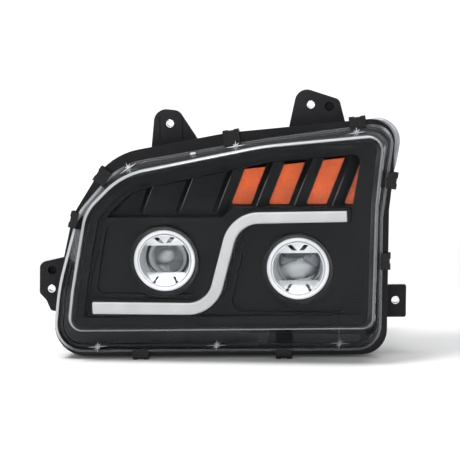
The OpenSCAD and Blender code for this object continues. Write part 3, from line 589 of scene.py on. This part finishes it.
def skirt_flutes():
    """A thin fluted skin over the bezel's sloping skirt, with one step along it."""
    steps = steps_for(FLANGE, FLUTE / FLUTE_POINTS)
    flange = [outline(grow(FLANGE, d), steps) for d in (SKIRT_FOOT, SKIRT_FOOT + 1)]
    crest = [outline(grow(CREST, d), steps) for d in (SKIRT_TOP, SKIRT_TOP + 1)]
    n = len(crest[0])
    wave = [0.5 - 0.5 * math.cos(2 * math.pi * i / FLUTE_POINTS) for i in range(n)]

    def ring(share, out, flute):
        """A ring that share of the way from flange to crest, raised by out plus the flutes."""
        points = []
        for i in range(n):
            rise = out + flute * wave[i]
            low = flange[0][i].lerp(flange[1][i], rise)
            high = crest[0][i].lerp(crest[1][i], rise)
            p = low.lerp(high, share)
            back = (1 - share) * (FLANGE_DEPTH + FOOT_SET) + share * (face_y(high.x) + TOP_SET)
            points.append(place(p.x, back, p.y))
        return points

    rings = [ring(*row) for row in SKIRT_ROWS]
    new_piece("skirt_flutes", [p for r in rings for p in r], join_rings(rings, close=True),
              BEZEL.mat, "root", [], 50)


# ---- halo rings -------------------------------------------------------------------------
TEETH, TOOTH_POINTS, TOOTH_SLOPE = 96, 4, 0.6
# Radius, depth and how deep the teeth cut there
HALO_PROFILE = [(35.3, 7.8, 0), (35.3, 2.6, 0.5), (36.0, 1.3, 0.6), (37.0, 0.7, 0.35),
                (37.6, 0.35, 0), (38.4, RING_SET, 0), (40.2, RING_SET, 0), (40.9, 0.45, 0),
                (41.4, 1.2, 0), (41.5, 2.4, 0), (41.5, 7.8, 0)]


def halo(name, middle):
    """A moulded ring with fine teeth round its inner edge."""
    steps = TEETH * TOOTH_POINTS
    rings = []
    for r, y, tooth in HALO_PROFILE:
        points = []
        for i in range(steps):
            a = 2 * math.pi * i / steps
            cut = tooth if i % TOOTH_POINTS in (1, 2) else 0
            points.append(place(middle.x + (r + cut) * math.cos(a), middle.y + y + cut * TOOTH_SLOPE,
                                middle.z + (r + cut) * math.sin(a)))
        rings.append(points)
    new_piece(name + "_toothed", [p for r in rings for p in r], join_rings(rings, close=True),
              HALO.mat, "root", [name], 35)


# ---- daylight strip ---------------------------------------------------------------------
# Length of a prism, and how far its surface drops at each of its points
PRISM, PRISM_WAVE = 2.6, (0, 0.22, 0.3, 0.22)
# The guide's face behind the bezel's, and how far its two ends are rounded
GUIDE_SET, GUIDE_END = 4.1, 0.7
BEND_STEPS = 40
# Across, in half widths, and depth
GUIDE_SECTION = [(-1, 9), (-1, 1.6), (-0.93, 0.7), (-0.8, 0.15), (-0.55, 0), (0, -0.1), (0.55, 0),
                 (0.8, 0.15), (0.93, 0.7), (1, 1.6), (1, 9)]


def strip_line(gap):
    """Points, directions and half widths along the strip's middle line, evenly spaced."""
    corners = STRIP_PATH
    raw = [flat(corners[0])]
    for i in (1, 2):
        here = flat(corners[i])
        a = (here - flat(corners[i - 1])).normalized()
        b = (flat(corners[i + 1]) - here).normalized()
        raw += arc(here, a, b, corners[i][2], BEND_STEPS)
    raw.append(flat(corners[3]))
    marks = [0]
    for a, b in zip(raw, raw[1:]):
        marks.append(marks[-1] + (b - a).length)
    count = round(marks[-1] / gap)
    out = []
    k = 0
    for j in range(count + 1):
        s = marks[-1] * j / count
        while k < len(raw) - 2 and marks[k + 1] < s:
            k += 1
        a, b = raw[k], raw[k + 1]
        point = a.lerp(b, (s - marks[k]) / (marks[k + 1] - marks[k]))
        share = s / marks[-1]
        half = (STRIP_WIDTHS[0] * (1 - share) + STRIP_WIDTHS[1] * share) / 2
        out.append((point, (b - a).normalized(), half))
    return out


def light_guide():
    """The frosted guide, with rounded shoulders and fine prisms across its face."""
    line = strip_line(PRISM / len(PRISM_WAVE))
    rings = []
    for j, (point, along, half) in enumerate(line):
        prism = PRISM_WAVE[j % len(PRISM_WAVE)]
        end = GUIDE_END if j in (0, len(line) - 1) else 0
        side = side_of(along)
        ring = []
        for across, depth in GUIDE_SECTION:
            p = point + side * across * (half - end)
            cut = (prism + end) * (1 if depth < 1 else 0)
            ring.append(swept(p.x, GUIDE_SET + depth + cut, p.y))
        rings.append(ring)
    n = len(rings[0])
    faces = join_rings(rings)
    faces += [tuple(range(n)), tuple(reversed(range(len(rings) * n - n, len(rings) * n)))]
    new_piece("daylight_guide", [p for r in rings for p in r], faces, FROST.mat, "root",
              ["drl_light_guide"], 60)


# ---- locating lugs on the lens's skirt --------------------------------------------------
# Place along the flange and up, the turn of the long blade in degrees, and how far back
LUGS = [(-184, 10, 4, 58), (-22, 11, 0, 58), (143, 13, -2, 58), (-133, 252, 32, 54),
        (11, 279, 9, 54), (170, 294, 7, 54)]
# Half length, half width and turn of each blade, and how far they reach forward and back
LUG_BLADES = ((14, 1.2, 0), (8, 1.4, 82), (7, 1.5, 40), (5, 1.4, 130))
LUG_FRONT, LUG_BACK, LUG_TAPER = -2.2, 3, 0.8
# The one flattened bump: its place, given as a lug's is, and its half length, half width, height
BOSS = (-46, 270, 9, 54)
BOSS_SIZE = (4.2, 1.9, 1.6)
BOSS_ROWS, BOSS_SIDES = 6, 20


def lug(points, faces, x, z, turn, y):
    """A small star of tapered blades."""
    a = math.radians(turn)
    for long, thin, tilt in LUG_BLADES:
        t = a + math.radians(tilt)
        along = Vector((math.cos(t), 0, math.sin(t)))
        over = Vector((-math.sin(t), 0, math.cos(t)))
        start = len(points)
        middle = Vector((x, y, z))
        corners = [along * -long, over * -thin, along * long, over * thin]
        front = [middle + c for c in corners] + [middle + Vector((0, LUG_FRONT, 0))]
        back = [middle + c * LUG_TAPER + Vector((0, LUG_BACK, 0)) for c in corners]
        points += [place(*p) for p in front + back]
        faces += [(start + i, start + (i + 1) % 4, start + 4) for i in range(4)]
        faces += [(start + i, start + 5 + i, start + 5 + (i + 1) % 4, start + (i + 1) % 4)
                  for i in range(4)]
        faces.append(tuple(start + 5 + i for i in reversed(range(4))))


def boss(points, faces, x, z, turn, y, size=BOSS_SIZE):
    """A small flattened dome: half its length, half its width and its height."""
    a = math.radians(turn)
    rows, around = BOSS_ROWS, BOSS_SIDES
    start = len(points)
    for k in range(rows):
        t = math.pi / 2 * k / rows
        for j in range(around):
            b = 2 * math.pi * j / around
            u, w = size[0] * math.cos(b) * math.cos(t), size[1] * math.sin(b) * math.cos(t)
            points.append(place(x + u * math.cos(a) - w * math.sin(a), y - size[2] * math.sin(t),
                                z + u * math.sin(a) + w * math.cos(a)))
    faces += [(start + k * around + j, start + k * around + (j + 1) % around,
               start + (k + 1) * around + (j + 1) % around, start + (k + 1) * around + j)
              for k in range(rows - 1) for j in range(around)]
    faces += [tuple(start + j for j in range(around)),
              tuple(start + (rows - 1) * around + j for j in reversed(range(around)))]


def lens_lugs():
    points, faces = [], []
    for spot in LUGS:
        lug(points, faces, *spot)
    boss(points, faces, *BOSS)
    obj = new_piece("lens_lugs", points, faces, CLEAR, "root", [], 20)
    # All of the lugs and the bump get the full painted highlight, so they show pale and bright
    set_weights(obj, "painted_edge_highlight", [1] * len(points))


# ---- edges of the louvre fins, with a painted highlight ---------------------------------
FIN_PITCH, FIN_WINDOW, FIN_SLANT, FIN_START = 50, 27, 22.5, 1
FIN_DEPTH, FIN_EDGE_R, FIN_LENGTH = 21, 0.7, 46
# Height of the fins' foot, how far above it the edges start, how far above it FIN_START is
# measured, and how far left of its window a fin's edge stands, as a share of the fin's width
FIN_FOOT, EDGE_RISE, START_RISE, FIN_RIDGE = 187, 9, 16, 0.6
EDGE_SIDES, EDGE_STATIONS = 8, 8


def fin_edges():
    """A slim rounded bead along each fin's front edge, lighter than the bezel: a painted highlight."""
    base = (FIN_PITCH - FIN_WINDOW) * math.cos(math.radians(FIN_SLANT))
    lean = math.tan(math.radians(FIN_SLANT))
    points, faces = [], []
    sides, stations = EDGE_SIDES, EDGE_STATIONS
    for i in range(-3, 4):
        foot = (FIN_START + FIN_PITCH * i - START_RISE * lean
                - FIN_RIDGE * base / math.cos(math.radians(FIN_SLANT)))
        rings = []
        for k in range(stations + 1):
            t = k / stations
            r = FIN_EDGE_R * math.sin(math.pi * (0.06 + 0.88 * t)) ** 0.5
            z = FIN_FOOT + EDGE_RISE + FIN_LENGTH * t
            rings.append([swept(foot + (z - FIN_FOOT) * lean + r * math.cos(2 * math.pi * j / sides),
                                FIN_DEPTH + r * math.sin(2 * math.pi * j / sides), z)
                          for j in range(sides)])
        start = len(points)
        points += [p for ring in rings for p in ring]
        faces += join_rings(rings, start=start)
        faces += [tuple(start + j for j in range(sides)),
                  tuple(start + stations * sides + j for j in reversed(range(sides)))]
    new_piece("fin_edges", points, faces, FIN_EDGE_HIGHLIGHT.mat, "root", [])


# ---- lip of the lens that wraps over the rim at its top right corner ---------------------
LIP_FRONT, LIP_BACK, LIP_OUT, LIP_OVER = 63, 71, 3.2, 3.4
# It lies where the rim faces between these, in degrees, right of and above this point
LIP_TURNS, LIP_FROM, LIP_GAP = (-12, 96), Vector((190, 240)), 2.5


def corner_lip():
    """The lens's edge wrapped over the rim, widest at the corner: opaque grey, a painted highlight of
    the clear edge, to show on white.
    """
    steps = steps_for(RIM, LIP_GAP)
    inner = outline(RIM, steps)
    outer = outline(grow(RIM, 1), steps)
    turns = facing(inner)
    spots = [i for i, p in enumerate(inner)
             if LIP_TURNS[0] < turns[i] < LIP_TURNS[1] and p.x > LIP_FROM.x and p.y > LIP_FROM.y]
    rings = []
    for k, i in enumerate(spots):
        swell = math.sin(math.pi * k / (len(spots) - 1)) ** 0.6
        width, over = 0.2 + LIP_OUT * swell, 0.1 + LIP_OVER * swell
        ring = []
        for out, y in ((-over, LIP_FRONT + 3), (-over * 0.8, LIP_FRONT + 1.2), (0, LIP_FRONT),
                       (width * 0.6, LIP_FRONT + 1), (width, LIP_FRONT + 4), (width, LIP_BACK),
                       (0.1, LIP_BACK), (0.1, LIP_FRONT + 4.5)):
            p = inner[i].lerp(outer[i], out)
            ring.append(place(p.x, y, p.y))
        rings.append(ring)
    n = len(rings[0])
    faces = join_rings(rings)
    faces += [tuple(range(n)), tuple(reversed(range(len(rings) * n - n, len(rings) * n)))]
    new_piece("lens_corner_lip", [p for r in rings for p in r], faces, LIP.mat, "root",
              [], 50)


# ---- painted reflection spots in the projectors ------------------------------------------
# How far below the ring's middle the spots lie
SPOT_DROP = 6.8


def lens_spot(name, ring, across, depth, size, body):
    """A painted dome behind the projector's lens, in the place of a reflection in the photo."""
    points, faces = [], []
    boss(points, faces, ring.x + across, ring.z - SPOT_DROP, 0, ring.y + depth, size)
    obj = new_piece(name, points, faces, SPOT, body, [])
    set_weights(obj, "painted_glint", [math.sin(math.pi / 2 * (i // BOSS_SIDES) / (BOSS_ROWS - 1)) ** 2
                               for i in range(len(points))])


lens_spot("painted_spot_left", RING_LEFT, -6.5, 74.1, (2.3, 2.0, 0.8), "projector_unit")
lens_spot("painted_spot_right", RING_RIGHT, -2.5, 61.5, (8.5, 5.2, 1.6), "shield")
corner_lip()
fin_edges()
skirt_flutes()
halo("halo_ring_left", RING_LEFT)
halo("halo_ring_right", RING_RIGHT)
light_guide()
lens_lugs()


# ---- stage ------------------------------------------------------------------------------
def area_light(name, place_at, aim, size, power):
    data = bpy.data.lights.new(name, "AREA")
    data.energy = power
    data.shape = "RECTANGLE"
    data.size, data.size_y = size
    lamp = bpy.data.objects.new(name, data)
    bpy.context.scene.collection.objects.link(lamp)
    lamp.location = place_at
    lamp.rotation_euler = (Vector(aim) - Vector(place_at)).to_track_quat("-Z", "Y").to_euler()
    lamp.visible_camera = False


# Name, place, what it aims at, size and power
LIGHTS = [("key", (-0.8, -0.7, 2.0), (0, 0, 0.1), (0.6, 0.6), 40),
          ("top", (0.0, -0.1, 2.2), (0, 0, 0.1), (1.8, 1.4), 44),
          ("front", (0.2, -2.4, 1.0), (0, 0, 0.15), (1.4, 0.8), 13),
          ("left_card", (-1.6, -1.1, 0.6), (0, 0, 0.15), (0.5, 1.6), 6),
          ("right_card", (1.5, -0.9, 0.7), (0, 0, 0.15), (0.3, 1.4), 10)]
FLOOR_HALF = 60
# Past this distance from the lamp the floor lights itself, as an endless white sweep does
FLOOR_GLOW = 2.5


def make_stage():
    mesh = bpy.data.meshes.new("floor")
    ends = (-FLOOR_HALF, FLOOR_HALF)
    mesh.from_pydata([(x, y, 0) for y in ends for x in ends], [], [(0, 1, 3, 2)])
    floor = bpy.data.objects.new("floor", mesh)
    bpy.context.scene.collection.objects.link(floor)
    look = Look("floor_paint", (0.71, 0.71, 0.71), 0.8, Emission_Strength=1.0)
    look.gloss(6, 0.05)
    glow = look.node("TexGradient", gradient_type="SPHERICAL")
    look.links.new(look.stretched((1 / FLOOR_GLOW,) * 3), glow.inputs["Vector"])
    ramp = look.node("ValToRGB")
    ramp.color_ramp.elements[0].color = (0.9, 0.9, 0.9, 1)
    ramp.color_ramp.elements[1].color = (0.02, 0.02, 0.02, 1)
    ramp.color_ramp.elements[0].position, ramp.color_ramp.elements[1].position = 0.0, 0.75
    look.links.new(glow.outputs["Fac"], ramp.inputs["Fac"])
    look.links.new(ramp.outputs["Color"], look.shader.inputs["Emission Color"])
    mesh.materials.append(look.mat)
    world = bpy.data.worlds.new("studio")
    bpy.context.scene.world = world
    world.use_nodes = True
    tree = world.node_tree
    sky = tree.nodes["Background"]
    seen = tree.nodes.new("ShaderNodeBackground")
    seen.inputs["Color"].default_value = (1, 1, 1, 1)
    sky.inputs["Color"].default_value = (0.2, 0.205, 0.215, 1)
    path = tree.nodes.new("ShaderNodeLightPath")
    mix = tree.nodes.new("ShaderNodeMixShader")
    tree.links.new(path.outputs["Is Camera Ray"], mix.inputs["Fac"])
    tree.links.new(sky.outputs[0], mix.inputs[1])
    tree.links.new(seen.outputs[0], mix.inputs[2])
    tree.links.new(mix.outputs[0], tree.nodes["World Output"].inputs["Surface"])
    for light in LIGHTS:
        area_light(*light)
    bpy.context.scene.view_settings.view_transform = "Standard"


make_stage()
